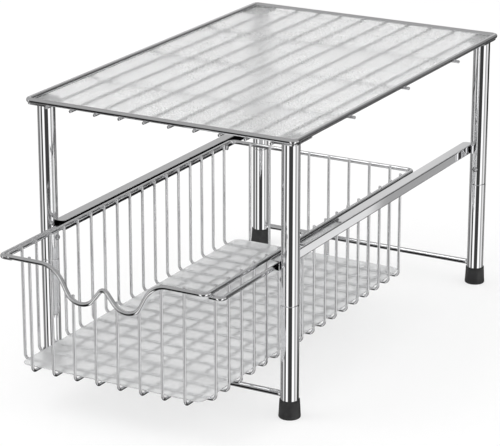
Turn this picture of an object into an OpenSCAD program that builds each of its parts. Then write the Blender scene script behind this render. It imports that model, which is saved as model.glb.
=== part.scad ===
// Wire shelf on four legs with a pull-out wire basket underneath.
// +X is to the right, +Y to the back, +Z up; all lengths are in millimetres.
// The origin is on the floor, under the middle of the box that holds the unit with its
// basket pulled out as far as basket_pull says.

/* [Shelf] */
// Overall width of the shelf frame, outside to outside
shelf_w = 290; // [240:1:360]
// Overall depth of the shelf frame, outside to outside
shelf_d = 447.3; // [400:0.1:520]
// Height of the top of the shelf frame above the floor
shelf_top = 273.4; // [240:0.1:320]
// Thickness of the wire that frames the shelf
frame_wire_d = 5.3; // [5:0.1:7]
// Bend radius of the frame's corners, at the wire's axis
frame_bend = 4; // [4:0.5:14]
// Thickness of the shelf's thin wires
shelf_wire_d = 3; // [2.4:0.2:4]
// Number of thin wires that run from front to back
depth_wire_count = 10; // [8:1:10]
// Distance from the shelf's sides to the axes of the outermost of those wires
depth_wire_inset = 25.3; // [25.3:0.1:40]
// Number of thin wires that run from side to side
cross_wire_count = 3; // [2:1:3]
// Distance from the shelf's front to the axis of the first of those wires
cross_wire_front = 111.6; // [60:0.1:130]
// Distance from the shelf's rear to the axis of the last of those wires
cross_wire_rear = 104.9; // [60:0.1:130]
// How far the side-to-side wires stick out past the side wires' axes
cross_wire_overhang = 4.8; // [3.5:0.1:8]
// Length of the slope where a side-to-side wire steps up to the frame
cross_wire_step = 6; // [5:0.5:9]
// Thickness of the frosted sheet that lies on the shelf
shelf_sheet_t = 2; // [1.5:0.1:2.8]
// Gap between the frosted sheet and the frame around it
shelf_sheet_gap = 0.3; // [0.2:0.1:2]
// How much rounder the sheet's corners are than the frame's inner corners
shelf_sheet_ease = 1.5; // [0.5:0.5:6]

/* [Corner plates] */
// Thickness of the plate between the shelf frame and a leg
plate_t = 1.4; // [1:0.1:2]
// Size of a plate from side to side
plate_w = 21.5; // [20:0.5:22]
// Size of a plate from front to back
plate_d = 32.5; // [30:0.5:45]
// How far a plate reaches past the axes of the frame wires
plate_reach = 1; // [0:0.2:2]
// Size of the slanting cut on a plate's inner corner
plate_chamfer = 6; // [3:0.5:8]
// Diameter of the threaded stud that is welded under a plate
stud_d = 6; // [5:1:8]
// Length of that stud
stud_l = 14; // [10:1:18]

/* [Legs] */
// Outer diameter of the leg tubes
leg_d = 17.2; // [14:0.2:17.6]
// Wall of the leg tubes
leg_wall = 0.8; // [0.6:0.1:1.2]
// Distance from the shelf frame's outer sides to the leg axes
leg_inset_x = 14; // [12:0.5:16]
// Distance from the shelf frame's front to the front legs' axes
leg_inset_front = 17.2; // [14:0.1:20]
// Distance from the shelf frame's rear to the rear legs' axes
leg_inset_rear = 12.1; // [12:0.1:20]
// Height of the joint between the lower and upper tubes
seam_z = 111.4; // [90:0.2:116]
// Bevel on the ends of the tubes
tube_bevel = 0.5; // [0.2:0.1:0.6]
// Length of the sleeve that joins the two tubes, inside them
sleeve_l = 64; // [56:1:80]
// Wall of that sleeve
sleeve_wall = 1; // [0.8:0.1:1.4]
// Height of the plug in the top of a leg
plug_h = 18; // [18:1:26]
// Play all round between pieces that slide into each other
slip_fit = 0.05; // [0.02:0.01:0.1]

/* [Feet] */
// Height of a rubber foot
foot_h = 18; // [14:0.5:20]
// Diameter of a foot on the floor
foot_d = 21; // [20:0.5:26]
// Diameter of a foot at its top
foot_top_d = 19.2; // [18.8:0.2:20]
// Thickness of rubber under the tube
foot_floor = 4; // [3:0.5:6]
// Rounding of a foot's bottom edge
foot_round = 1.5; // [0.5:0.5:2]

/* [Floor bars] */
// Thickness of the bars that join the left and right legs
bar_d = 5.6; // [4:0.2:7]
// Height of the bars' axes above the floor
bar_z = 21.7; // [21.7:0.1:40]

/* [Rails] */
// Height of the underside of the rails
rail_z = 142.8; // [140:0.2:160]
// Height of a rail
rail_h = 10; // [9:0.5:14]
// Width of a rail
rail_w = 11; // [10:0.5:12]
// Sheet thickness of the rails
rail_t = 1; // [0.8:0.1:1.2]
// How far a rail's ends stay within the outsides of the legs it joins
rail_setback = 3.6; // [2:0.2:8]
// Corner cut at the ends of the rails' flanges
rail_corner = 3; // [1:0.5:5]

/* [Leg screws] */
// Height of the screws in the front legs
front_screw_z = 133.5; // [125:0.5:135]
// Height of the screws in the rear legs
rear_screw_z = 128.5; // [125:0.5:135]
// Diameter of the screws' domed heads
screw_head_d = 6; // [5:0.2:7]
// Height of the domed heads
screw_head_h = 2.4; // [1.6:0.1:2.5]
// Diameter of the screws' shanks
screw_d = 3.5; // [3:0.1:4]
// Length of the screws' shanks
screw_l = 4.5; // [3:0.5:6]

/* [Basket] */
// Room between the rails and the axes of the side rim wires
basket_side_gap = 5; // [4.8:0.1:16]
// How far a closed basket stays behind the shelf's front edge
basket_recess = 2.2; // [0:0.2:6]
// How far a closed basket stays in front of the shelf's rear edge
basket_rear_gap = 21.4; // [16:0.1:60]
// Depth of the basket from the rim's axis to the axes of the wires across its bottom
basket_h = 107.8; // [80:0.1:112]
// How far the basket is pulled out in the rest pose
basket_pull = 97; // [0:1:140]
// Thickness of the rim wire
rim_wire_d = 4.4; // [4:0.2:5.2]
// Bend radius of the rim's corners, at the wire's axis
rim_bend = 6.5; // [6:0.5:12]
// Thickness of the basket's thin wires
basket_wire_d = 2.8; // [2:0.2:3]
// Bend radius of the thin wires, at their axes
basket_wire_bend = 5; // [4:0.5:8]
// Number of thin wires across the basket
basket_cross_count = 17; // [9:1:17]
// Distance from the rim's front and rear axes to the outermost wires across
basket_cross_inset = 22.4; // [16:0.1:40]
// Number of thin wires along the basket
basket_long_count = 8; // [4:1:8]
// Distance from the rim's side axes to the outermost wires along
basket_long_inset = 24.5; // [16:0.1:40]
// Thickness of the clear sheet on the basket's bottom
basket_sheet_t = 1.2; // [0.8:0.1:2]
// Gap between that sheet and the wires that rise around it
basket_sheet_gap = 0.5; // [0.3:0.1:3]
// Corner radius of that sheet
basket_sheet_round = 8; // [4:0.5:16]

/* [Wave in the front rim] */
// Distance from the middle to the corner where the front wire starts to fall
wave_shoulder_x = 51.6; // [50:0.2:60]
// Distance from the middle to the corner in each dip
wave_dip_x = 27.2; // [24:0.1:30]
// Drop of that corner below the rim
wave_dip_drop = 46; // [40:0.2:50]
// Drop of the corner of the middle peak below the rim
wave_peak_drop = 11.9; // [6:0.1:16]
// Bend radius where the wire starts to fall
wave_shoulder_bend = 26; // [20:1:28]
// Bend radius in the dips
wave_dip_bend = 17; // [10:0.1:17.2]
// Bend radius of the middle peak
wave_peak_bend = 4.8; // [4.6:0.2:10]

/* [Runners] */
// Thickness of the wires that slide in the rails
runner_d = 4.5; // [4:0.1:5]
// Distance from the rails' mouths to the runners' axes in them
runner_depth = 6.1; // [5.8:0.1:6.6]
// Distance from the basket's front plane to a runner's front end
runner_front = 8.5; // [8:0.5:20]
// Distance from the basket's rear rim to a runner's rear end
runner_rear = 11; // [8:0.5:14]
// Bend radius of the runners' turned-in ends
runner_bend = 5; // [4:0.5:5.5]
// How far the turned-in ends reach past the rim's axis
runner_tail = 2; // [0:0.5:2.2]
// Play under the runners in the rails
runner_play = 0.3; // [0.2:0.1:1]

/* [Hidden] */
$fn = 48;
// Sides of a wire that turns by odd angles, and the turn from one of its rings to the next
wire_sides = 20;
bend_step = 9;
// How much thinner such a wire is than the round wire it continues
wire_lip = 0.02;

CORNERS = [["front_left", -1, -1], ["front_right", 1, -1], ["rear_left", -1, 1], ["rear_right", 1, 1]];
SIDES = [["left", -1], ["right", 1]];
CORNER_PARTS = ["corner_plate", "top_plug", "upper_leg", "leg_sleeve", "lower_leg", "foot"];

// Shelf: everything is stacked down from the top of the frame wire
frame_x = (shelf_w - frame_wire_d) / 2;
frame_y = (shelf_d - frame_wire_d) / 2;
frame_z = shelf_top - frame_wire_d / 2;
shelf_bed = shelf_top - frame_wire_d;
depth_wire_z = shelf_bed - shelf_wire_d / 2;
cross_wire_z = depth_wire_z - shelf_wire_d;
cross_wire_x = frame_x + cross_wire_overhang;
cross_wire_rise_x = frame_x - frame_wire_d - cross_wire_step / 2;
cross_wire_bend = 2 * shelf_wire_d;
sheet_w = 2 * frame_x - frame_wire_d - 2 * shelf_sheet_gap;
sheet_d = 2 * frame_y - frame_wire_d - 2 * shelf_sheet_gap;
sheet_round = frame_bend - frame_wire_d / 2 + shelf_sheet_ease;

// Legs
leg_x = shelf_w / 2 - leg_inset_x;
leg_front_y = -shelf_d / 2 + leg_inset_front;
leg_rear_y = shelf_d / 2 - leg_inset_rear;
leg_r = leg_d / 2;
leg_bore = leg_d - 2 * leg_wall;
leg_top = shelf_bed - plate_t;
plug_d = leg_bore - 2 * slip_fit;
screw_hole_d = screw_d + 2 * slip_fit;

// Rails lie against the insides of the legs
rail_x = leg_x - leg_r;
rail_inner_x = rail_x - rail_w;
rail_front_y = leg_front_y - leg_r + rail_setback;
rail_rear_y = leg_rear_y + leg_r - rail_setback;

// Basket: its runners lie in the rails, and its rim lies on the runners' ends
basket_x = rail_inner_x - basket_side_gap;
basket_y = (shelf_d - basket_recess - basket_rear_gap - rim_wire_d) / 2;
runner_x = rail_inner_x + runner_depth;
runner_z = rail_z + rail_t + runner_play + runner_d / 2;
rim_z = runner_z + (runner_d + rim_wire_d) / 2;
rim_top = rim_z + rim_wire_d / 2;
wire_seat = (rim_wire_d + basket_wire_d) / 2;
basket_cross_z = rim_z - basket_h;
basket_long_z = basket_cross_z - basket_wire_d;
basket_sheet_z = basket_cross_z + basket_wire_d / 2;
basket_wall_x = basket_x - wire_seat;
basket_wall_y = basket_y - wire_seat;

// Where the two bodies stand in the part's own frame
basket_home_y = -shelf_d / 2 + basket_recess + rim_wire_d / 2 + basket_y;
basket_offset_y = basket_home_y - basket_pull;
front_reach = max(shelf_d / 2, -basket_offset_y + basket_y + rim_wire_d / 2);
stand_y = (front_reach - shelf_d / 2) / 2;

// The front of the rim: corners of the wave and the bend radius at each
wave_x = snap(basket_x - rim_bend - rim_wire_d / 2);
wave_points = [
    [-wave_x, 0], [-wave_shoulder_x, 0], [-wave_dip_x, -wave_dip_drop], [0, -wave_peak_drop],
    [wave_dip_x, -wave_dip_drop], [wave_shoulder_x, 0], [wave_x, 0]
];
wave_bends = [
    0, wave_shoulder_bend, wave_dip_bend, wave_peak_bend, wave_dip_bend, wave_shoulder_bend, 0
];

// Positions of count things, evenly spaced from low to high
function spread(count, low, high) = [for (i = [0:count - 1]) low + (high - low) * i / (count - 1)];
// One bend radius for every corner of a path
function same_bends(points, radius) = [for (p = points) radius];
// Direction from point a to point b
function heading(a, b) = atan2(b.y - a.y, b.x - a.x);
// Angle by which a path turns at corner i, positive to the left
function turn(points, i) =
    let (raw = heading(points[i], points[i + 1]) - heading(points[i - 1], points[i]))
    raw > 180 ? raw - 360 : raw < -180 ? raw + 360 : raw;
// How far a bend starts before its corner
function setback(points, bends, i) =
    i == 0 || i == len(points) - 1 ? 0 : bends[i] * tan(abs(turn(points, i)) / 2);
// A point at a distance from a towards b
function towards(a, b, distance) = a + (b - a) / norm(b - a) * distance;
// Height of a path that runs from left to right, at x
function path_height(points, bends, x, i = 1) =
    let (
        a = points[i - 1], b = points[i], c = points[i + 1],
        start = towards(b, a, setback(points, bends, i)),
        end = towards(b, c, setback(points, bends, i)),
        side = sign(turn(points, i)),
        aim = heading(a, b),
        centre = start + side * bends[i] * [-sin(aim), cos(aim)]
    )
    x < start.x ? a.y + (b.y - a.y) * (x - a.x) / (b.x - a.x)
    : x < end.x ? centre.y - side * sqrt(pow(bends[i], 2) - pow(x - centre.x, 2))
    : i < len(points) - 2 ? path_height(points, bends, x, i + 1)
    : b.y + (c.y - b.y) * (x - b.x) / (c.x - b.x);

// A length rounded to a hundredth, so that the pieces of a wire meet face to face
function snap(length) = round(length * 100) / 100;
// Places and directions along a path in the XY plane, close together in its bends
function path_stations(points, bends) = [
    [points[0], heading(points[0], points[1])],
    for (i = [1:len(points) - 2])
        let (
            aim = heading(points[i - 1], points[i]),
            sweep = turn(points, i),
            arm = sign(sweep) * bends[i],
            start = towards(points[i], points[i - 1], setback(points, bends, i)),
            centre = start + arm * [-sin(aim), cos(aim)],
            steps = ceil(abs(sweep) / bend_step)
        )
        for (k = [0:steps])
            let (now = aim + sweep * k / steps) [centre - arm * [-sin(now), cos(now)], now],
    [points[len(points) - 1], heading(points[len(points) - 2], points[len(points) - 1])]
];

// Round wire along a path in the XY plane whose corners are all square
module wire(path, radius, d) {
    points = [for (p = path) [snap(p.x), snap(p.y)]];
    bends = same_bends(points, snap(radius));
    last = len(points) - 1;
    for (i = [0:last - 1]) {
        from = setback(points, bends, i);
        to = setback(points, bends, i + 1);
        translate(points[i]) rotate([0, 0, heading(points[i], points[i + 1])])
            translate([from, 0, 0]) rotate([0, 90, 0])
                cylinder(d = d, h = norm(points[i + 1] - points[i]) - from - to);
    }
    for (i = [1:last - 1]) {
        sweep = turn(points, i);
        side = sign(sweep);
        translate(points[i]) rotate([0, 0, heading(points[i - 1], points[i])])
            translate([-setback(points, bends, i), side * bends[i], 0])
                rotate([0, 0, side > 0 ? -90 : 90 + sweep])
                    rotate_extrude(angle = abs(sweep)) translate([bends[i], 0]) circle(d = d);
    }
}

// Round wire along a path in the XY plane that turns by any angle, with a bend for each corner
module swept_wire(points, bends, d) {
    stations = path_stations(points, bends);
    last = len(stations) - 1;
    ring = [for (i = [0:wire_sides - 1]) i];
    vertices = [
        for (station = stations, i = ring)
            let (out = d / 2 * cos(360 * i / wire_sides), aim = station[1])
            [station[0].x - out * sin(aim), station[0].y + out * cos(aim), d / 2 * sin(360 * i / wire_sides)]
    ];
    walls = [
        for (k = [0:last - 1], i = ring)
            let (a = k * wire_sides, next = (i + 1) % wire_sides)
            [a + i, a + wire_sides + i, a + wire_sides + next, a + next]
    ];
    far_end = [for (i = ring) (last + 1) * wire_sides - 1 - i];
    polyhedron(vertices, concat(walls, [ring, far_end]));
}

// Turns a path drawn in the XY plane up on edge, to face the front
module upright() {
    rotate([90, 0, 0]) children();
}

// Turns a path drawn in the XY plane up on edge, to face the side, first axis to the back
module upright_lengthwise() {
    rotate([90, 0, 90]) children();
}

// Moves a piece to the stand's place in the part's frame
module on_stand() {
    translate([0, stand_y, 0]) children();
}

// Moves a piece to the basket's place in the part's frame
module on_basket() {
    translate([0, stand_y + basket_offset_y, 0]) children();
}

// Moves a piece to one leg's axis, at height z
module at_leg(corner, z = 0) {
    on_stand() translate([corner[1] * leg_x, corner[2] < 0 ? leg_front_y : leg_rear_y, z]) children();
}

// Flat plate with rounded corners, centred on the origin
module rounded_sheet(w, d, t, radius) {
    linear_extrude(t) union() {
        square([w - 2 * radius, d], center = true);
        square([w, d - 2 * radius], center = true);
        for (sx = [-1, 1], sy = [-1, 1])
            translate([sx * (w / 2 - radius), sy * (d / 2 - radius)]) circle(radius);
    }
}

// Tube with bevelled outer edges, from z0 to z1
module tube(outer_d, wall, z0, z1, bevel) {
    outer = outer_d / 2;
    rotate_extrude() polygon([
        [outer - wall, z0], [outer - bevel, z0], [outer, z0 + bevel],
        [outer, z1 - bevel], [outer - bevel, z1], [outer - wall, z1]
    ]);
}

// Direction in which the screw of a leg faces: inwards in front, forwards at the rear
function screw_heading(corner) = corner[2] > 0 ? -90 : corner[1] < 0 ? 0 : 180;
// Height of the screw of a leg
function screw_z(corner) = corner[2] > 0 ? rear_screw_z : front_screw_z;

// Places a screw, or its hole, that points out along +X, on the surface of a leg
module at_screw(corner) {
    translate([0, 0, screw_z(corner)]) rotate([0, 0, screw_heading(corner)])
        translate([leg_r, 0, 0]) rotate([0, 90, 0]) children();
}

module screw_hole(corner) {
    at_screw(corner) translate([0, 0, -leg_r]) cylinder(d = screw_hole_d, h = 2 * leg_r);
}

module shelf_rim() {
    points = [
        [0, frame_y], [-frame_x, frame_y], [-frame_x, -frame_y],
        [frame_x, -frame_y], [frame_x, frame_y], [0, frame_y]
    ];
    color("silver") on_stand() translate([0, 0, frame_z])
        wire(points, frame_bend, frame_wire_d);
}

module shelf_depth_wires() {
    outermost = shelf_w / 2 - depth_wire_inset;
    color("silver") on_stand()
        for (x = spread(depth_wire_count, -outermost, outermost))
            translate([x, shelf_d / 2, depth_wire_z]) rotate([90, 0, 0])
                cylinder(d = shelf_wire_d, h = shelf_d);
}

module shelf_cross_wires() {
    low_x = cross_wire_rise_x - cross_wire_step / 2;
    high_x = cross_wire_rise_x + cross_wire_step / 2;
    points = [
        [-cross_wire_x, depth_wire_z], [-high_x, depth_wire_z], [-low_x, cross_wire_z],
        [low_x, cross_wire_z], [high_x, depth_wire_z], [cross_wire_x, depth_wire_z]
    ];
    color("silver") on_stand()
        for (y = spread(cross_wire_count, -shelf_d / 2 + cross_wire_front, shelf_d / 2 - cross_wire_rear))
            translate([0, y, 0]) upright()
                swept_wire(points, same_bends(points, cross_wire_bend), shelf_wire_d);
}

module shelf_sheet() {
    color([0.93, 0.94, 0.95, 0.6]) on_stand() translate([0, 0, shelf_bed])
        rounded_sheet(sheet_w, sheet_d, shelf_sheet_t, sheet_round);
}

module corner_plate(corner) {
    outer_round = frame_bend + plate_reach;
    color("silver") on_stand()
        translate([corner[1] * (frame_x + plate_reach), corner[2] * (frame_y + plate_reach), leg_top])
            mirror([corner[1] > 0 ? 1 : 0, 0, 0]) mirror([0, corner[2] > 0 ? 1 : 0, 0])
                linear_extrude(plate_t) union() {
                    translate([outer_round, outer_round]) circle(outer_round);
                    polygon([
                        [0, outer_round], [outer_round, outer_round], [outer_round, 0],
                        [plate_w, 0], [plate_w, plate_d - plate_chamfer],
                        [plate_w - plate_chamfer, plate_d], [0, plate_d]
                    ]);
                }
}

module plate_studs() {
    color("gray") for (corner = CORNERS)
        at_leg(corner, leg_top - stud_l) cylinder(d = stud_d, h = stud_l);
}

module top_plug(corner) {
    color("dimgray") at_leg(corner, leg_top - plug_h) difference() {
        cylinder(d = plug_d, h = plug_h);
        translate([0, 0, -1]) cylinder(d = stud_d + 2 * slip_fit, h = plug_h + 2);
    }
}

module upper_leg(corner) {
    color("gainsboro") at_leg(corner) difference() {
        tube(leg_d, leg_wall, seam_z, leg_top, tube_bevel);
        screw_hole(corner);
    }
}

module leg_sleeve(corner) {
    color("gray") at_leg(corner) difference() {
        tube(plug_d, sleeve_wall, seam_z - sleeve_l / 2, seam_z + sleeve_l / 2, tube_bevel);
        screw_hole(corner);
    }
}

module lower_leg(corner) {
    color("gainsboro") at_leg(corner) tube(leg_d, leg_wall, foot_floor, seam_z, tube_bevel);
}

module foot(corner) {
    base_r = foot_d / 2;
    top_r = foot_top_d / 2;
    socket_r = leg_r + slip_fit;
    color([0.12, 0.12, 0.12]) at_leg(corner) rotate_extrude() union() {
        polygon([
            [0, 0], [base_r - foot_round, 0], [base_r, foot_round], [top_r, foot_h],
            [socket_r, foot_h], [socket_r, foot_floor], [0, foot_floor]
        ]);
        intersection() {
            translate([base_r - foot_round, foot_round]) circle(foot_round);
            square([base_r, foot_round]);
        }
    }
}

module leg_screws() {
    dome_r = (pow(screw_head_d / 2, 2) + pow(screw_head_h, 2)) / (2 * screw_head_h);
    recess = [0.55 * screw_head_d, 0.15 * screw_head_d, screw_head_h];
    color("lightgray") for (corner = CORNERS) at_leg(corner) at_screw(corner) {
        translate([0, 0, -screw_l]) cylinder(d = screw_d, h = screw_l);
        difference() {
            intersection() {
                translate([0, 0, screw_head_h - dome_r]) sphere(dome_r);
                cylinder(d = screw_head_d, h = screw_head_h);
            }
            for (a = [0, 90])
                rotate([0, 0, a]) translate([0, 0, screw_head_h]) cube(recess, center = true);
        }
    }
}

// Bar between two legs, with ends shaped to the tubes
module floor_bar(y) {
    color("silver") on_stand() translate([0, y, 0]) difference() {
        translate([-leg_x, 0, bar_z]) rotate([0, 90, 0]) cylinder(d = bar_d, h = 2 * leg_x);
        for (side = SIDES)
            translate([side[1] * leg_x, 0, bar_z - bar_d]) cylinder(d = leg_d, h = 2 * bar_d);
    }
}

module front_bar() {
    floor_bar(leg_front_y);
}

module rear_bar() {
    floor_bar(leg_rear_y);
}

// Channel with its back to the legs and its mouth to the basket
module rail(side) {
    bend = rail_t;
    cut = rail_corner * sqrt(2);
    color("lightgray") on_stand() mirror([side[1] > 0 ? 0 : 1, 0, 0]) difference() {
        translate([rail_inner_x, rail_rear_y, rail_z]) rotate([90, 0, 0])
            linear_extrude(rail_rear_y - rail_front_y) difference() {
                union() {
                    square([rail_w - bend, rail_h]);
                    translate([0, bend]) square([rail_w, rail_h - 2 * bend]);
                    translate([rail_w - bend, bend]) circle(bend);
                    translate([rail_w - bend, rail_h - bend]) circle(bend);
                }
                translate([-rail_t, rail_t]) square([rail_w, rail_h - 2 * rail_t]);
            }
        for (end_y = [rail_front_y, rail_rear_y])
            translate([rail_inner_x, end_y, rail_z - rail_t])
                rotate([0, 0, 45]) translate([-cut / 2, -cut / 2, 0]) cube([cut, cut, rail_h + 2 * rail_t]);
    }
}

module basket_rim() {
    points = [
        [-wave_x, -basket_y], [-basket_x, -basket_y], [-basket_x, basket_y],
        [basket_x, basket_y], [basket_x, -basket_y], [wave_x, -basket_y]
    ];
    color("silver") on_basket() translate([0, 0, rim_z]) {
        wire(points, rim_bend, rim_wire_d);
        translate([0, -basket_y, 0]) upright() swept_wire(wave_points, wave_bends, rim_wire_d - wire_lip);
    }
}

module basket_cross_wires() {
    outermost = basket_y - basket_cross_inset;
    points = [
        [-basket_wall_x, rim_top], [-basket_wall_x, basket_cross_z],
        [basket_wall_x, basket_cross_z], [basket_wall_x, rim_top]
    ];
    color("silver") on_basket()
        for (y = spread(basket_cross_count, -outermost, outermost))
            translate([0, y, 0]) upright()
                wire(points, basket_wire_bend, basket_wire_d);
}

module basket_long_wires() {
    outermost = basket_x - basket_long_inset;
    color("silver") on_basket()
        for (x = spread(basket_long_count, -outermost, outermost)) {
            points = [
                [-basket_wall_y, rim_top + path_height(wave_points, wave_bends, x)],
                [-basket_wall_y, basket_long_z], [basket_wall_y, basket_long_z], [basket_wall_y, rim_top]
            ];
            translate([x, 0, 0]) upright_lengthwise()
                wire(points, basket_wire_bend, basket_wire_d);
        }
}

module basket_sheet() {
    margin = basket_wire_bend + basket_sheet_gap;
    color([0.9, 0.92, 0.94, 0.6]) on_basket() translate([0, 0, basket_sheet_z])
        rounded_sheet(2 * (basket_wall_x - margin), 2 * (basket_wall_y - margin / 2),
            basket_sheet_t, basket_sheet_round);
}

// Wire that slides in a rail; its ends turn in under the rim
module runner(side) {
    inner_x = basket_x - runner_tail;
    points = [
        [inner_x, -basket_y + runner_front], [runner_x, -basket_y + runner_front],
        [runner_x, basket_y - runner_rear], [inner_x, basket_y - runner_rear]
    ];
    color("silver") on_basket() translate([0, 0, runner_z]) mirror([side[1] > 0 ? 0 : 1, 0, 0])
        wire(points, runner_bend, runner_d);
}

shelf_rim();
shelf_depth_wires();
shelf_cross_wires();
shelf_sheet();
for (corner = CORNERS) {
    corner_plate(corner);
    top_plug(corner);
    upper_leg(corner);
    leg_sleeve(corner);
    lower_leg(corner);
    foot(corner);
}
plate_studs();
leg_screws();
front_bar();
rear_bar();
for (side = SIDES) {
    rail(side);
    runner(side);
}
basket_rim();
basket_cross_wires();
basket_long_wires();
basket_sheet();
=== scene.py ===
"""Dresses a wire shelf with a pull-out basket: its meshes, its finishes and the studio around it."""

import logging
import math
from dataclasses import dataclass
from enum import Enum
from typing import Any, Sequence, Union

import bpy
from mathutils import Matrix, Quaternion, Vector


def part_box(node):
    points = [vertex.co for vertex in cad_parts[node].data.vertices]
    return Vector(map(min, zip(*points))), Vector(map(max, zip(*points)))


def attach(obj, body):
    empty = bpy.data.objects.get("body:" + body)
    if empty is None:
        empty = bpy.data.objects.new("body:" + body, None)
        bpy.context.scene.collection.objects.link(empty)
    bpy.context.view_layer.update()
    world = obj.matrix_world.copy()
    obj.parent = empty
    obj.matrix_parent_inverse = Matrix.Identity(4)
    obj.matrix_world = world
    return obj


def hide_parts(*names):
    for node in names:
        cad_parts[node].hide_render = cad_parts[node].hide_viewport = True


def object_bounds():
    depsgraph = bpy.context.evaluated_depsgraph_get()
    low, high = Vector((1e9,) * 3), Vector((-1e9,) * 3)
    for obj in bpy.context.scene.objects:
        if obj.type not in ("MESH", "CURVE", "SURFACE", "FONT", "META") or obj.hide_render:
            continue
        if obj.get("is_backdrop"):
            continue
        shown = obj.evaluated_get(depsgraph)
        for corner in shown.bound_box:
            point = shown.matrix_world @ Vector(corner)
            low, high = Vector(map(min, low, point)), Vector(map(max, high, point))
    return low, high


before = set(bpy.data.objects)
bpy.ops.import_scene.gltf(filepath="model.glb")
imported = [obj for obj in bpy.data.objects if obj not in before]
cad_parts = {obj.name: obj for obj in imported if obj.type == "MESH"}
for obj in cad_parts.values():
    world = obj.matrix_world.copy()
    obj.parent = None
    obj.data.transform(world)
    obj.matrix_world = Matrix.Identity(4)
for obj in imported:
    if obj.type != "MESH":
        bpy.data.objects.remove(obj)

LOG = logging.getLogger("shelf_and_basket")
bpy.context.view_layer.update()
MM = 0.001
QUARTER = [math.radians(22.5 * k) for k in range(5)]  # a quarter turn in even steps
TINY = 0.0001  # keeps a divisor away from 0

Colour = tuple[float, float, float]
Size = tuple[float, float, float]
Number = Union[float, "Sock"]


class Body(Enum):
    """The two bodies that pieces ride on."""

    STAND = "stand"
    BASKET = "basket"


class Slot(Enum):
    """The record's material slots."""

    BRIGHT_WIRE = "bright_wire"
    BASKET_WIRE = "basket_wire"
    BRIGHT_TUBE = "bright_tube"
    BRIGHT_PLATE = "bright_plate"
    RAIL = "rail_sheet_metal"
    SCREW = "screw_steel"
    INNER_STEEL = "inner_steel"
    PLUG = "plug_plastic"
    RUBBER = "foot_rubber"
    FROSTED = "frosted_sheet"
    CLEAR = "clear_sheet"


class Corner(Enum):
    """The four legs: name and side, -1 for left or front and 1 for right or rear."""

    FRONT_LEFT = ("front_left", -1, -1)
    FRONT_RIGHT = ("front_right", 1, -1)
    REAR_LEFT = ("rear_left", -1, 1)
    REAR_RIGHT = ("rear_right", 1, 1)


# ---------------------------------------------------------------- shader graphs


class Sock:
    """A node's output on which arithmetic adds Math nodes."""

    def __init__(self, graph: "Graph", socket: bpy.types.NodeSocket) -> None:
        """Wraps one output socket of a graph."""
        self.graph = graph
        self.socket = socket

    def _math(self, operation: str, first: Number, second: Number) -> "Sock":
        """Adds one Math node and returns its output."""
        return self.graph.value("ShaderNodeMath", {"operation": operation}, {0: first, 1: second})

    def __add__(self, other: Number) -> "Sock":
        """self + other."""
        return self._math("ADD", self, other)

    def __radd__(self, other: Number) -> "Sock":
        """other + self."""
        return self._math("ADD", other, self)

    def __sub__(self, other: Number) -> "Sock":
        """self - other."""
        return self._math("SUBTRACT", self, other)

    def __rsub__(self, other: Number) -> "Sock":
        """other - self."""
        return self._math("SUBTRACT", other, self)

    def __mul__(self, other: Number) -> "Sock":
        """self * other."""
        return self._math("MULTIPLY", self, other)

    def __rmul__(self, other: Number) -> "Sock":
        """other * self."""
        return self._math("MULTIPLY", other, self)

    def __truediv__(self, other: Number) -> "Sock":
        """self / other."""
        return self._math("DIVIDE", self, other)

    def __pow__(self, other: Number) -> "Sock":
        """self to the power of other."""
        return self._math("POWER", self, other)

    def rise(self, low: float, high: float) -> "Sock":
        """A smooth step from 0 at low to 1 at high.

        Args:
            low: The value below which the step is 0.
            high: The value above which the step is 1.

        Returns:
            The step as a socket.
        """
        return self.graph.value(
            "ShaderNodeMapRange",
            {"interpolation_type": "SMOOTHSTEP"},
            {"Value": self, "From Min": low, "From Max": high, "To Min": 0.0, "To Max": 1.0},
        )


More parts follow.
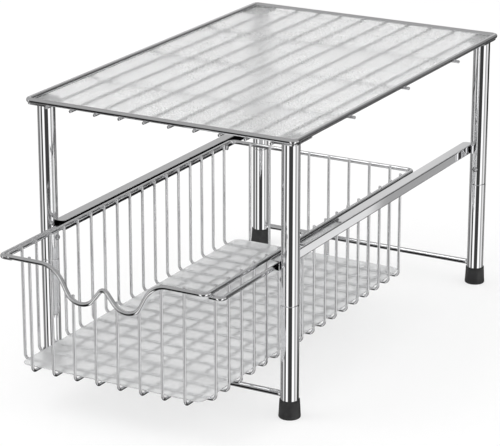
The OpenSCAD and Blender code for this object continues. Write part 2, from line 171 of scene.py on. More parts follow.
class Graph:
    """A node tree that one method fills."""

    def __init__(self, tree: bpy.types.NodeTree) -> None:
        """Empties a node tree and wraps it."""
        self.tree = tree
        tree.nodes.clear()

    def add(self, kind: str, settings: dict[str, Any], sockets: dict[Any, Any]) -> bpy.types.Node:
        """Adds a node.

        Args:
            kind: The node's type.
            settings: The node's own settings, which are set first.
            sockets: Values or links of its inputs, by name or number.

        Returns:
            The new node.
        """
        node = self.tree.nodes.new(kind)
        for name, value in settings.items():
            setattr(node, name, value)
        for key, value in sockets.items():
            if isinstance(key, int):
                target = node.inputs[key]
            else:
                target = next(s for s in node.inputs if s.name == key and s.enabled)
            if isinstance(value, Sock):
                self.tree.links.new(value.socket, target)
            else:
                target.default_value = value
        return node

    def value(
        self, kind: str, settings: dict[str, Any], sockets: dict[Any, Any], output: str = ""
    ) -> Sock:
        """Adds a node and wraps one of its outputs.

        Args:
            kind: The node's type.
            settings: The node's own settings.
            sockets: Values or links of its inputs.
            output: The output's name, or nothing for the first one in use.

        Returns:
            The output as a socket.
        """
        node = self.add(kind, settings, sockets)
        if output:
            return Sock(self, node.outputs[output])
        return Sock(self, next(s for s in node.outputs if s.enabled))

    def place(self, stretch: Sequence[float] = (1, 1, 1)) -> Sock:
        """Positions on the piece in metres, stretched along each axis.

        Args:
            stretch: The factor of each axis.

        Returns:
            The stretched positions as a socket.
        """
        where = self.value("ShaderNodeTexCoord", {}, {}, "Object")
        return self.value(
            "ShaderNodeVectorMath", {"operation": "MULTIPLY"}, {0: where, 1: tuple(stretch)}
        )

    def noise(self, where: Sock, scale: float, detail: float = 2.0, rough: float = 0.5) -> Sock:
        """Cloudy noise between 0 and 1.

        Args:
            where: The positions that it is read at.
            scale: Its blotches, about so many a metre.
            detail: How many finer layers lie over the first.
            rough: How strongly the finer layers show.

        Returns:
            The noise as a socket.
        """
        return self.value(
            "ShaderNodeTexNoise",
            {},
            {"Vector": where, "Scale": scale, "Detail": detail, "Roughness": rough},
            "Fac",
        )

    def blend(self, share: Number, first: Union[Colour, Sock], second: Colour) -> Sock:
        """A colour between two.

        Args:
            share: The second colour's share.
            first: The first colour, plain or as a socket.
            second: The second colour.

        Returns:
            The blended colour as a socket.
        """
        start = first if isinstance(first, Sock) else (*first, 1.0)
        return self.value(
            "ShaderNodeMix", {"data_type": "RGBA"}, {"Factor": share, "A": start, "B": (*second, 1.0)}
        )

    def bump(self, height: Sock, depth: float, strength: float) -> Sock:
        """A normal tipped by a height map.

        Args:
            height: The height map, from 0 to 1.
            depth: How deep the map is, in metres.
            strength: The share of the tipping that shows.

        Returns:
            The normal as a socket.
        """
        return self.value(
            "ShaderNodeBump", {}, {"Height": height, "Distance": depth, "Strength": strength}
        )

    def surface(self, sockets: dict[str, Any]) -> None:
        """Ends a material in a Principled shader.

        Args:
            sockets: Values or links of the shader's inputs.
        """
        shader = self.value("ShaderNodeBsdfPrincipled", {}, sockets)
        self.add("ShaderNodeOutputMaterial", {}, {"Surface": shader})


def new_material(name: str) -> tuple[bpy.types.Material, Graph]:
    """Makes an empty material and the graph that fills it.

    Args:
        name: The material's name.

    Returns:
        The material and its graph.
    """
    material = bpy.data.materials.new(name)
    material.use_nodes = True
    return material, Graph(material.node_tree)


# ---------------------------------------------------------------- finishes


@dataclass(frozen=True)
class PlatedMetal:
    """Bright plating over drawn or rolled steel: streaks along the metal, haze and tiny pits."""

    name: str
    dull: Colour
    bright: Colour
    gloss: tuple[float, float]
    streak: tuple[float, float, float]
    ripple: float = 0.25
    haze_scale: float = 38.0
    pit_scale: float = 900.0
    pit_depth: float = 0.02 * MM

    def shade(self, graph: Graph, tone: Sock) -> Sock:
        """The plating's colour, from dull to bright."""
        return graph.blend(tone, self.dull, self.bright)

    def build(self) -> bpy.types.Material:
        """Makes the material.

        Returns:
            The finished material.
        """
        material, graph = new_material(self.name)
        streaks = graph.noise(graph.place(self.streak), 1.0, detail=3.0, rough=0.6)
        haze = graph.noise(graph.place(), self.haze_scale, detail=3.0)
        pits = graph.noise(graph.place(), self.pit_scale, detail=1.0)
        low, high = self.gloss
        graph.surface(
            {
                "Base Color": self.shade(graph, streaks * 0.6 + haze * 0.4),
                "Metallic": 1.0,
                "Roughness": low + (high - low) * (haze * 0.6 + pits * 0.4),
                "Normal": graph.bump(streaks * 0.8 + pits * 0.2, self.pit_depth, self.ripple),
            }
        )
        return material


@dataclass(frozen=True)
class ChannelMetalPaintedShade(PlatedMetal):
    """Bright plating with painted shade: a near-black colour on the faces inside the channels stands in
    for the shadow there.
    """

    # near-black colour of the painted shade inside the channel
    painted_channel_shade: Colour = (0.035, 0.035, 0.037)
    sheet: float = 1.0 * MM
    edge: float = 0.1 * MM

    def shade(self, graph: Graph, tone: Sock) -> Sock:
        """The plating's colour, with painted shade on the faces that look into a channel.

        Args:
            graph: The material's graph.
            tone: How bright the plating is, from 0 to 1.

        Returns:
            The colour as a socket.
        """
        low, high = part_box("rail_right")
        web = high.x - self.sheet / 2
        floor = low.z + self.sheet / 2
        roof = high.z - self.sheet / 2
        place = graph.place()
        across = graph.value("ShaderNodeSeparateXYZ", {}, {0: place}, "X")
        height = graph.value("ShaderNodeSeparateXYZ", {}, {0: place}, "Z")
        # mask of the faces inside the channel, where the painted shade goes
        within = 1 - ((across * across) ** 0.5).rise(web - self.edge, web + self.edge)
        above = height.rise(floor - self.edge, floor + self.edge)
        below = 1 - height.rise(roof - self.edge, roof + self.edge)
        return graph.blend(within * above * below, super().shade(graph, tone), self.painted_channel_shade)


@dataclass(frozen=True)
class SheetPlastic:
    """Thin see-through plastic sheet with a fine frosted grain and faint cloudiness."""

    name: str
    clear: Colour
    cloudy: Colour
    gloss: tuple[float, float]
    frost_scale: float
    passes: float
    cloud_scale: float = 14.0
    frost_depth: float = 0.01 * MM
    frost_strength: float = 0.1
    refraction: float = 1.15

    def build(self) -> bpy.types.Material:
        """Makes the material.

        Returns:
            The finished material.
        """
        material, graph = new_material(self.name)
        clouds = graph.noise(graph.place(), self.cloud_scale, detail=3.0)
        frost = graph.noise(graph.place(), self.frost_scale, rough=0.7)
        low, high = self.gloss
        graph.surface(
            {
                "Base Color": graph.blend(clouds * 0.7 + frost * 0.3, self.clear, self.cloudy),
                "Roughness": low + (high - low) * (clouds * 0.5 + frost * 0.5),
                "Normal": graph.bump(frost, self.frost_depth, self.frost_strength),
                "Transmission Weight": self.passes,
                "IOR": self.refraction,
            }
        )
        return material


@dataclass(frozen=True)
class Rubber:
    """Moulded black rubber or plastic with a matt grain, paler where it is rubbed."""

    name: str
    deep: Colour
    rubbed: Colour
    gloss: tuple[float, float]
    cloud_scale: float = 90.0
    grain_scale: float = 1800.0
    grain_depth: float = 0.1 * MM
    grain_strength: float = 0.4

    def build(self) -> bpy.types.Material:
        """Makes the material.

        Returns:
            The finished material.
        """
        material, graph = new_material(self.name)
        clouds = graph.noise(graph.place(), self.cloud_scale, detail=3.0)
        grain = graph.noise(graph.place(), self.grain_scale)
        wear = (clouds * 0.8 + grain * 0.2).rise(0.35, 0.75)
        low, high = self.gloss
        graph.surface(
            {
                "Base Color": graph.blend(wear, self.deep, self.rubbed),
                "Roughness": low + (high - low) * clouds,
                "Normal": graph.bump(grain, self.grain_depth, self.grain_strength),
            }
        )
        return material


FINISHES: dict[Slot, Union[PlatedMetal, SheetPlastic, Rubber]] = {
    Slot.BRIGHT_WIRE: PlatedMetal(
        "plated_wire", (0.72, 0.72, 0.73), (0.86, 0.86, 0.87), (0.025, 0.06), (60, 60, 60)
    ),
    Slot.BASKET_WIRE: PlatedMetal(
        "plated_thin_wire", (0.76, 0.76, 0.77), (0.9, 0.9, 0.91), (0.03, 0.08), (90, 90, 90)
    ),
    Slot.BRIGHT_TUBE: PlatedMetal(
        "plated_tube", (0.8, 0.8, 0.81), (0.9, 0.9, 0.91), (0.02, 0.05), (700, 700, 6), 0.1
    ),
    Slot.BRIGHT_PLATE: PlatedMetal(
        "plated_plate", (0.64, 0.64, 0.65), (0.76, 0.76, 0.77), (0.12, 0.24), (120, 120, 120)
    ),
    # the rails' finish paints shade inside their channels
    Slot.RAIL: ChannelMetalPaintedShade(
        "plated_rail", (0.74, 0.74, 0.75), (0.86, 0.86, 0.87), (0.01, 0.035), (500, 5, 500), 0.08
    ),
    Slot.SCREW: PlatedMetal(
        "plated_screw", (0.55, 0.55, 0.56), (0.72, 0.72, 0.73), (0.12, 0.25), (400, 400, 400)
    ),
    Slot.INNER_STEEL: PlatedMetal(
        "plain_steel", (0.4, 0.4, 0.41), (0.52, 0.52, 0.53), (0.3, 0.5), (300, 300, 30)
    ),
    Slot.PLUG: Rubber("plug_plastic", (0.03, 0.03, 0.03), (0.06, 0.06, 0.06), (0.4, 0.6)),
    Slot.RUBBER: Rubber("foot_rubber", (0.018, 0.018, 0.019), (0.05, 0.05, 0.05), (0.5, 0.75)),
    Slot.FROSTED: SheetPlastic(
        "frosted_sheet", (0.99, 0.995, 0.995), (1.0, 1.0, 1.0), (0.26, 0.29), 700.0, 0.84
    ),
    Slot.CLEAR: SheetPlastic(
        "clear_sheet", (0.87, 0.875, 0.88), (0.91, 0.915, 0.915), (0.25, 0.28), 500.0, 0.66
    ),
}


class Finishes:
    """Makes each finish once, when a piece first needs it."""

    def __init__(self) -> None:
        """Starts with nothing made."""
        self._made: dict[Slot, bpy.types.Material] = {}

    def of(self, slot: Slot) -> bpy.types.Material:
        """Gives the material of a slot.

        Args:
            slot: The material slot.

        Returns:
            Its finish.
        """
        if slot not in self._made:
            self._made[slot] = FINISHES[slot].build()
        return self._made[slot]


# ---------------------------------------------------------------- mesh tools


@dataclass(frozen=True)
class Bend:
    """A corner of a wire's path and the radius, at the wire's axis, that it is bent to."""

    at: Vector
    radius: float = 0.0


def bend_path(corners: Sequence[Bend], closed: bool = False, step: float = 7.5) -> list[Vector]:
    """Rounds the corners of a path.

    Args:
        corners: The path's corners, in order.
        closed: Whether the path runs back to its first corner.
        step: The turn in degrees between two points in a bend.

    Returns:
        Points along the rounded path.
    """
    count = len(corners)
    points: list[Vector] = []
    for i, corner in enumerate(corners):
        if not closed and i in (0, count - 1):
            points.append(corner.at.copy())
            continue
        back = (corners[i - 1].at - corner.at).normalized()
        ahead = (corners[(i + 1) % count].at - corner.at).normalized()
        sweep = math.pi - back.angle(ahead)
        setback = corner.radius * math.tan(sweep / 2)
        inward = (back + ahead).normalized()
        centre = corner.at + inward * (corner.radius / math.cos(sweep / 2))
        arm = corner.at + back * setback - centre
        axis = (-back).cross(ahead).normalized()
        steps = max(2, math.ceil(math.degrees(sweep) / step))
        points += [centre + Quaternion(axis, sweep * k / steps) @ arm for k in range(steps + 1)]
    return points


def brace(points: Sequence[Vector], reach: float, closed: bool = False) -> list[Vector]:
    """Adds a point near each end of a line's long stretches, so that they shade straight.

    Args:
        points: The line's points.
        reach: The distance of the added points from the ends of a stretch.
        closed: Whether the line runs back to its first point.

    Returns:
        The points with the added ones between them.
    """
    found: list[Vector] = []
    for k, here in enumerate(points):
        found.append(here)
        if k == len(points) - 1 and not closed:
            break
        ahead = points[(k + 1) % len(points)] - here
        if ahead.length > 3 * reach:
            step = ahead.normalized() * reach
            found += [here + step, here + ahead - step]
    return found


class Shell:
    """Vertices and faces of a mesh in the making."""

    END_ROUND = 0.35  # rounding of a wire's end, as a share of its radius
    WIRE_HOLD = 0.5  # reach of a wire's bracing points, as a share of its radius
    TURNED_HOLD = 0.4 * MM  # reach of the bracing points of a turned profile
    MITRE = 0.5  # least slope that a bevel reckons with at a corner
    BEAD_RINGS = 5
    BEAD_SIDES = 10
    UP = Vector((0, 0, 1))
    RIGHT = Vector((1, 0, 0))

    def __init__(self) -> None:
        """Starts with an empty mesh."""
        self.vertices: list[Vector] = []
        self.faces: list[tuple[int, ...]] = []

    def rings(self, rings: Sequence[Sequence[Vector]], closed: bool = False) -> None:
        """Skins rings of equal size, one after another, and caps the ends of an open skin.

        Args:
            rings: Rings of points; each is joined to the next.
            closed: Whether the last ring is joined to the first.
        """
        first = len(self.vertices)
        sides = len(rings[0])
        for ring in rings:
            self.vertices += ring
        for k in range(len(rings) if closed else len(rings) - 1):
            here = first + k * sides
            there = first + (k + 1) % len(rings) * sides
            for i in range(sides):
                j = (i + 1) % sides
                self.faces.append((here + i, here + j, there + j, there + i))
        if not closed:
            last = first + (len(rings) - 1) * sides
            self.faces.append(tuple(first + sides - 1 - i for i in range(sides)))
            self.faces.append(tuple(last + i for i in range(sides)))

    def wire(self, path: Sequence[Vector], radius: float, sides: int = 20, closed: bool = False) -> None:
        """Adds a round wire with softly rounded ends.

        Args:
            path: Points along the wire's axis.
            radius: The wire's radius.
            sides: Sides of its section.
            closed: Whether it is a loop.
        """
        points = [p.copy() for p in path]
        lip = self.END_ROUND * radius
        if not closed:
            points[0] += (points[1] - points[0]).normalized() * lip
            points[-1] += (points[-2] - points[-1]).normalized() * lip
        points = brace(points, self.WIRE_HOLD * radius, closed)
        headings = self._headings(points, closed)
        arms = self._arms(points, headings, closed)
        stations = [(points[k], headings[k], arms[k], radius) for k in range(len(points))]
        if not closed:
            turns = [math.radians(a) for a in (30, 60, 90)]
            ends = [(lip * math.sin(t), radius - lip * (1 - math.cos(t))) for t in turns]
            start, end = stations[0], stations[-1]
            stations = (
                [(start[0] - start[1] * s, start[1], start[2], r) for s, r in reversed(ends)]
                + stations
                + [(end[0] + end[1] * s, end[1], end[2], r) for s, r in ends]
            )
        self.rings(
            [self.circle(place, heading, arm, size, sides) for place, heading, arm, size in stations],
            closed,
        )

    @staticmethod
    def _headings(points: Sequence[Vector], closed: bool) -> list[Vector]:
        """Finds the direction of a path at each of its points.

        Args:
            points: The path's points.
            closed: Whether it is a loop.

        Returns:
            A direction for each point.
        """
        count = len(points)
        found = []
        for k in range(count):
            before = points[k - 1] if closed or k else points[0]
            after = points[(k + 1) % count] if closed or k < count - 1 else points[-1]
            into = (points[k] - before).normalized()
            out = (after - points[k]).normalized()
            found.append((into + out).normalized())
        return found

    @staticmethod
    def _arms(points: Sequence[Vector], headings: Sequence[Vector], closed: bool) -> list[Vector]:
        """Finds directions square to a path that turn with it and don't twist.

        Args:
            points: The path's points.
            headings: The path's direction at each of them.
            closed: Whether it is a loop.

        Returns:
            A direction for each point.
        """
        start = headings[0]
        arm = start.cross(Shell.UP if abs(start.z) < 0.9 else Shell.RIGHT).normalized()
        arms = [arm]
        for k in range(1, len(points)):
            arm = headings[k - 1].rotation_difference(headings[k]) @ arm
            arm = (arm - headings[k] * arm.dot(headings[k])).normalized()
            arms.append(arm)
        if closed:
            home = headings[-1].rotation_difference(start) @ arm
            twist = home.angle(arms[0], 0.0)
            if home.cross(arms[0]).dot(start) < 0:
                twist = -twist
            arms = [
                Quaternion(headings[k], twist * k / len(points)) @ arms[k] for k in range(len(points))
            ]
        return arms

    @staticmethod
    def circle(centre: Vector, heading: Vector, arm: Vector, radius: float, sides: int) -> list[Vector]:
        """Lays a ring of points round a path.

        Args:
            centre: The ring's middle.
            heading: The path's direction there.
            arm: The direction of the ring's first point.
            radius: The ring's radius.
            sides: How many points it has.

        Returns:
            The ring's points.
        """
        other = heading.cross(arm)
        angles = [2 * math.pi * i / sides for i in range(sides)]
        return [centre + (arm * math.cos(a) + other * math.sin(a)) * radius for a in angles]

    def lathe(
        self, centre: Vector, profile: Sequence[tuple[float, float]], sides: int, closed: bool
    ) -> None:
        """Turns a profile round an upright axis.

        Args:
            centre: The foot of the axis.
            profile: Radius and height of each point, from low to high outside.
            sides: Sides of the turned shape.
            closed: Whether the profile is a loop, as of a tube.
        """
        braced = brace([Vector(point) for point in profile], self.TURNED_HOLD, closed)
        self.rings(
            [self.circle(centre + self.UP * z, self.UP, self.RIGHT, r, sides) for r, z in braced],
            closed,
        )

    def bead(self, centre: Vector, size: Size) -> None:
        """Adds a small smooth weld bead.

        Args:
            centre: The bead's middle.
            size: How far it reaches from there along each axis.
        """
        across, along, up = size
        rings = []
        for k in range(1, self.BEAD_RINGS + 1):
            tilt = math.pi * k / (self.BEAD_RINGS + 1)
            flat = self.circle(Vector(), self.UP, self.RIGHT, math.sin(tilt), self.BEAD_SIDES)
            lift = -math.cos(tilt) * up
            rings.append([centre + Vector((p.x * across, p.y * along, lift)) for p in flat])
        self.rings(rings)

    def slab(self, outline: Sequence[Vector], low: float, high: float, edge: float) -> None:
        """Adds a flat plate with softly bevelled edges.

        Args:
            outline: The plate's outline, anticlockwise from above.
            low: The height of its underside.
            high: The height of its top.
            edge: The size of the bevel.
        """
        inner = self._inset(outline, edge)
        levels = [(inner, low), (outline, low + edge), (outline, high - edge), (inner, high)]
        self.rings([[Vector((p.x, p.y, z)) for p in ring] for ring, z in levels])

    @staticmethod
    def _inset(outline: Sequence[Vector], distance: float) -> list[Vector]:
        """Moves an outline inwards.

        Args:
            outline: The outline, anticlockwise from above.
            distance: How far it moves.

        Returns:
            The smaller outline.
        """
        found = []
        for k, here in enumerate(outline):
            into = (here - outline[k - 1]).normalized()
            out = (outline[(k + 1) % len(outline)] - here).normalized()
            left = Vector((-into.y - out.y, into.x + out.x, 0)).normalized()
            slope = max(Shell.MITRE, left.dot(Vector((-into.y, into.x, 0))))
            found.append(here + left * (distance / slope))
        return found

    def make(self, name: str, material: bpy.types.Material, crease: float = 40.0) -> bpy.types.Object:
        """Turns the shell into an object.

        Args:
            name: The object's name.
            material: Its finish.
            crease: The angle in degrees above which an edge stays sharp.

        Returns:
            The new object.
        """
        mesh = bpy.data.meshes.new(name)
        mesh.from_pydata([tuple(v) for v in self.vertices], [], self.faces)
        mesh.validate()
        mesh.polygons.foreach_set("use_smooth", [True] * len(mesh.polygons))
        mesh.set_sharp_from_angle(angle=math.radians(crease))
        mesh.materials.append(material)
        made = bpy.data.objects.new(name, mesh)
        bpy.context.scene.collection.objects.link(made)
        return made


def round_outline(low: Vector, high: Vector, radius: float, steps: int = 8) -> list[Vector]:
    """Draws a box's plan with rounded corners.

    Args:
        low: The box's lowest corner.
        high: Its highest corner.
        radius: The radius of the rounding.
        steps: The steps of each rounded corner.

    Returns:
        The plan's points, anticlockwise.
    """
    found = []
    centres = [
        (high.x - radius, high.y - radius, 0),
        (low.x + radius, high.y - radius, 90),
        (low.x + radius, low.y + radius, 180),
        (high.x - radius, low.y + radius, 270),
    ]
    for x, y, start in centres:
        for k in range(steps + 1):
            angle = math.radians(start + 90 * k / steps)
            found.append(Vector((x + radius * math.cos(angle), y + radius * math.sin(angle), 0)))
    return found


def spread(low: float, high: float, count: int) -> list[float]:
    """Evenly spaced values from low to high."""
    return [low + (high - low) * k / (count - 1) for k in range(count)]


@dataclass(frozen=True)
class Piece:
    """A finished piece: its object, the body it rides on and the nodes it stands for."""

    thing: bpy.types.Object
    body: Body
    slot: Slot
    nodes: tuple[str, ...]


class Workshop:
    """Makes pieces from shells, puts them on their bodies and keeps the list of them."""

    def __init__(self) -> None:
        """Starts with no pieces."""
        self.finishes = Finishes()
        self.pieces: list[Piece] = []

    def fit(self, shell: Shell, name: str, body: Body, slot: Slot, nodes: Sequence[str]) -> Piece:
        """Makes a piece that stands for some nodes.

        Args:
            shell: The piece's mesh.
            name: Its name.
            body: The body it rides on.
            slot: The material slot that it takes its finish from.
            nodes: The nodes that it stands for.

        Returns:
            The piece.
        """
        thing = shell.make(name, self.finishes.of(slot))
        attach(thing, body.value)
        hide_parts(*nodes)
        return self._keep(Piece(thing, body, slot, tuple(nodes)))

    def dress(self, node: str, body: Body, slot: Slot) -> Piece:
        """Gives a node that stays as it is its finish.

        Args:
            node: The node's name.
            body: The body it belongs to.
            slot: The material slot that it takes its finish from.

        Returns:
            The piece.
        """
        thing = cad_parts[node]
        material = self.finishes.of(slot)
        for entry in thing.material_slots:
            entry.material = material
        return self._keep(Piece(thing, body, slot, (node,)))

    def _keep(self, piece: Piece) -> Piece:
        """Adds a piece to the list and reports it.

        Args:
            piece: The finished piece.

        Returns:
            The same piece.
        """
        self.pieces.append(piece)
        LOG.info("%s rides on %s in %s", piece.thing.name, piece.body.value, piece.slot.value)
        return piece


# ---------------------------------------------------------------- sub-assemblies


@dataclass
class Shelf:
    """The shelf: a bent frame, thin wires under it, a frosted sheet on them and corner plates."""

    frame_bend: float = 4 * MM
    depth_wires: int = 10
    cross_wires: int = 3
    rise_middle: float = 134.05 * MM
    rise_length: float = 6.0 * MM
    rise_bend: float = 4.0  # as a share of the wire's radius
    sheet_round: float = 2.85 * MM
    sheet_edge: float = 0.4 * MM
    sheet_lift: float = 0.08 * MM
    plate_corner: float = 5 * MM
    plate_cut: float = 6 * MM
    plate_edge: float = 0.2 * MM
    plate_steps: int = 6
    depth_weld: Size = (1.7 * MM, 1.5 * MM, 0.8 * MM)
    crossing_weld: Size = (1.6 * MM, 1.6 * MM, 0.8 * MM)
    side_weld: Size = (1.5 * MM, 1.7 * MM, 0.8 * MM)

    def build(self, shop: Workshop) -> None:
        """Makes every piece of the shelf.

        Args:
            shop: The workshop that makes the pieces.
        """
        self._frame(shop)
        self._thin_wires(shop)
        self._sheet(shop)
        for corner in Corner:
            self._plate(shop, corner)

    def _frame(self, shop: Workshop) -> None:
        """Makes the thick wire round the shelf.

        Args:
            shop: The workshop that makes the pieces.
        """
        low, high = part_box("shelf_rim")
        radius = (high.z - low.z) / 2
        inset = Vector((radius, radius, 0))
        a, b = low + inset, high - inset
        plan = ((a.x, a.y), (b.x, a.y), (b.x, b.y), (a.x, b.y))
        corners = [Bend(Vector((x, y, low.z + radius)), self.frame_bend) for x, y in plan]
        shell = Shell()
        shell.wire(bend_path(corners, closed=True, step=5), radius, sides=32, closed=True)
        shop.fit(shell, "shelf_frame_wire", Body.STAND, Slot.BRIGHT_WIRE, ["shelf_rim"])

    def _thin_wires(self, shop: Workshop) -> None:
        """Makes the thin wires of both directions, with a weld bead at each crossing.

        Args:
            shop: The workshop that makes the pieces.
        """
        low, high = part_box("shelf_depth_wires")
        radius = (high.z - low.z) / 2
        z = low.z + radius
        xs = spread(low.x + radius, high.x - radius, self.depth_wires)
        rim_low, rim_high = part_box("shelf_rim")
        rim_radius = (rim_high.z - rim_low.z) / 2
        shell = Shell()
        for x in xs:
            shell.wire([Vector((x, low.y, z)), Vector((x, high.y, z))], radius)
            for y in (rim_low.y + rim_radius, rim_high.y - rim_radius):
                shell.bead(Vector((x, y, z + radius)), self.depth_weld)
        shop.fit(shell, "shelf_wires_front_to_back", Body.STAND, Slot.BRIGHT_WIRE, ["shelf_depth_wires"])

        low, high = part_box("shelf_cross_wires")
        bottom, top = low.z + radius, high.z - radius
        foot = self.rise_middle - self.rise_length / 2
        head = self.rise_middle + self.rise_length / 2
        right = [(foot, bottom), (head, top), (high.x, top)]
        track = [(-x, h) for x, h in reversed(right)] + right
        shell = Shell()
        for y in spread(low.y + radius, high.y - radius, self.cross_wires):
            bends = [Bend(Vector((x, y, h)), self.rise_bend * radius) for x, h in track]
            shell.wire(bend_path(bends), radius)
            for x in xs:
                shell.bead(Vector((x, y, bottom + radius)), self.crossing_weld)
            for side in (-1, 1):
                spot = Vector((side * (rim_high.x - rim_radius), y, top + radius))
                shell.bead(spot, self.side_weld)
        shop.fit(shell, "shelf_wires_side_to_side", Body.STAND, Slot.BRIGHT_WIRE, ["shelf_cross_wires"])

    def _sheet(self, shop: Workshop) -> None:
        """Makes the frosted sheet that lies inside the frame.

        Args:
            shop: The workshop that makes the pieces.
        """
        low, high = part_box("shelf_sheet")
        shell = Shell()
        outline = round_outline(low, high, self.sheet_round)
        shell.slab(outline, low.z + self.sheet_lift, high.z, self.sheet_edge)
        shop.fit(shell, "frosted_shelf_sheet", Body.STAND, Slot.FROSTED, ["shelf_sheet"])

    def _plate(self, shop: Workshop, corner: Corner) -> None:
        """Makes the plate between the frame and one leg.

        Args:
            shop: The workshop that makes the pieces.
            corner: The leg's corner.
        """
        name, side_x, side_y = corner.value
        node = f"corner_plate_{name}"
        low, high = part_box(node)
        size = high - low
        arc = [math.radians(180 + 90 * k / self.plate_steps) for k in range(self.plate_steps + 1)]
        r = self.plate_corner
        local = [(r + r * math.cos(a), r + r * math.sin(a)) for a in arc]
        local += [(size.x, 0), (size.x, size.y - self.plate_cut)]
        local += [(size.x - self.plate_cut, size.y), (0, size.y)]
        points = []
        for x, y in local:
            across = high.x - x if side_x > 0 else low.x + x
            along = high.y - y if side_y > 0 else low.y + y
            points.append(Vector((across, along, 0)))
        if side_x * side_y < 0:
            points.reverse()
        shell = Shell()
        shell.slab(points, low.z, high.z, self.plate_edge)
        shop.fit(shell, f"leg_plate_{name}", Body.STAND, Slot.BRIGHT_PLATE, [node])


@dataclass
class Leg:
    """One leg: two tubes that meet at a seam, and a rubber foot."""

    corner: Corner
    wall: float = 0.8 * MM
    bevel: float = 0.5 * MM
    bevel_share: float = 0.3  # where the bevel's middle point lies
    sides: int = 72
    foot_round: float = 1.5 * MM
    foot_lip: float = 0.5 * MM
    foot_taper: float = 0.9 * MM
    foot_core: float = 0.3 * MM
    foot_play: float = 0.05 * MM
    swell: float = 0.25 * MM
    swell_height: float = 0.28  # as a share of the foot's height
    groove: float = 0.15 * MM
    groove_edge: float = 0.05 * MM
    mouth: float = 0.3 * MM

    def build(self, shop: Workshop) -> None:
        """Makes both tubes and the foot, and dresses what is inside them.

        Args:
            shop: The workshop that makes the pieces.
        """
        name = self.corner.value[0]
        for part in ("upper_leg", "lower_leg"):
            self._tube(shop, f"{part}_{name}", f"{part}_tube_{name}")
        self._foot(shop, name)
        shop.dress(f"top_plug_{name}", Body.STAND, Slot.PLUG)
        shop.dress(f"leg_sleeve_{name}", Body.STAND, Slot.INNER_STEEL)

    def _tube(self, shop: Workshop, node: str, name: str) -> None:
        """Makes a tube with bevelled ends.

        Args:
            shop: The workshop that makes the pieces.
            node: The tube's node.
            name: The piece's name.
        """
        low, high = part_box(node)
        centre = (low + high) / 2
        outer = (high.x - low.x) / 2
        inner = outer - self.wall
        full, part = self.bevel, self.bevel_share * self.bevel
        rise = [(inner, 0.0), (outer - full, 0.0), (outer - part, part), (outer, full)]
        profile = [(r, low.z + z) for r, z in rise] + [(r, high.z - z) for r, z in reversed(rise)]
        shell = Shell()
        shell.lathe(Vector((centre.x, centre.y, 0)), profile, self.sides, closed=True)
        shop.fit(shell, name, Body.STAND, Slot.BRIGHT_TUBE, [node])

    def _foot(self, shop: Workshop, name: str) -> None:
        """Makes a tapered rubber foot with a thin lip round the tube.

        Args:
            shop: The workshop that makes the pieces.
            name: The leg's name.
        """
        node = f"foot_{name}"
        low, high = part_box(node)
        centre = (low + high) / 2
        base = (high.x - low.x) / 2
        top = base - self.foot_taper
        tube_low, tube_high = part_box(f"lower_leg_{name}")
        bore = (tube_high.x - tube_low.x) / 2 + self.foot_play
        r = self.foot_round
        height = high.z - low.z
        lip = self.foot_lip
        profile = [(self.foot_core, 0.0)]
        profile += [(base - r + r * math.sin(t), r - r * math.cos(t)) for t in QUARTER]
        profile += [
            (base - self.swell, self.swell_height * height),
            (top + self.groove_edge, height - 3 * lip),
            (top - self.groove, height - 2.4 * lip),
            (top, height - 1.8 * lip),
            (top, height - 0.6 * lip),
            (top - self.mouth, height),
            (bore, height),
            (bore, tube_low.z),
            (self.foot_core, tube_low.z),
        ]
        shell = Shell()
        shell.lathe(Vector((centre.x, centre.y, low.z)), profile, self.sides, closed=False)
        shop.fit(shell, f"rubber_foot_{name}", Body.STAND, Slot.RUBBER, [node])


@dataclass
class Rail:
    """A channel folded from sheet, its mouth to the basket, with its ends cut on a slant."""

    side: int
    sheet: float = 1.0 * MM
    fold: float = 1.0 * MM
    inner_fold: float = 0.35 * MM
    lip: float = 0.3 * MM
    trim: float = 3.0 * MM
    trim_steps: int = 3
    stations: int = 9
    hold: float = 0.25 * MM

    def build(self, shop: Workshop) -> None:
        """Makes the rail.

        Args:
            shop: The workshop that makes the pieces.
        """
        node = "rail_right" if self.side > 0 else "rail_left"
        low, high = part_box(node)
        outline = [Vector(point) for point in self._section(high.x - low.x, high.z - low.z)]
        section = brace(outline, self.hold, closed=True)
        shell = Shell()
        rings = []
        for y in self._lengths(low.y, high.y):
            ring = []
            for across, up in section:
                cut = max(0.0, self.trim - across)
                stop = min(max(y, low.y + cut), high.y - cut)
                x = low.x + across if self.side > 0 else high.x - across
                ring.append(Vector((x, stop, low.z + up)))
            rings.append(ring if self.side < 0 else ring[::-1])
        shell.rings(rings)
        shop.fit(shell, f"slide_{node}", Body.STAND, Slot.RAIL, [node])

    def _lengths(self, low: float, high: float) -> list[float]:
        """Spaces places along the rail, close together at its trimmed ends.

        Args:
            low: Where the rail begins.
            high: Where it ends.

        Returns:
            The places, from front to rear.
        """
        near = [self.trim * k / self.trim_steps for k in range(self.trim_steps)]
        middle = spread(low + self.trim, high - self.trim, self.stations)
        return [low + d for d in near] + middle + [high - d for d in reversed(near)]

    def _section(self, width: float, height: float) -> list[tuple[float, float]]:
        """Draws the channel's section.

        Args:
            width: The rail's width, across the channel.
            height: The rail's height.

        Returns:
            The outline's points: distance from the channel's mouth, and height.
        """
        t, lip = self.sheet, self.lip
        outer, inner = self.fold, self.inner_fold
        edge, corner = width - outer, width - t - inner
        path = [(lip, 0.0)]
        path += [(edge + outer * math.sin(a), outer - outer * math.cos(a)) for a in QUARTER]
        path += [(edge + outer * math.cos(a), height - outer + outer * math.sin(a)) for a in QUARTER]
        path += [(self.trim, height), (lip, height)]
        path += [(0.0, height - lip), (0.0, height - t + lip), (lip, height - t)]
        path += [(corner + inner * math.sin(a), height - t - inner + inner * math.cos(a)) for a in QUARTER]
        path += [(corner + inner * math.cos(a), t + inner - inner * math.sin(a)) for a in QUARTER]
        path += [(self.trim, t), (lip, t), (0.0, t - lip), (0.0, lip)]
        return path


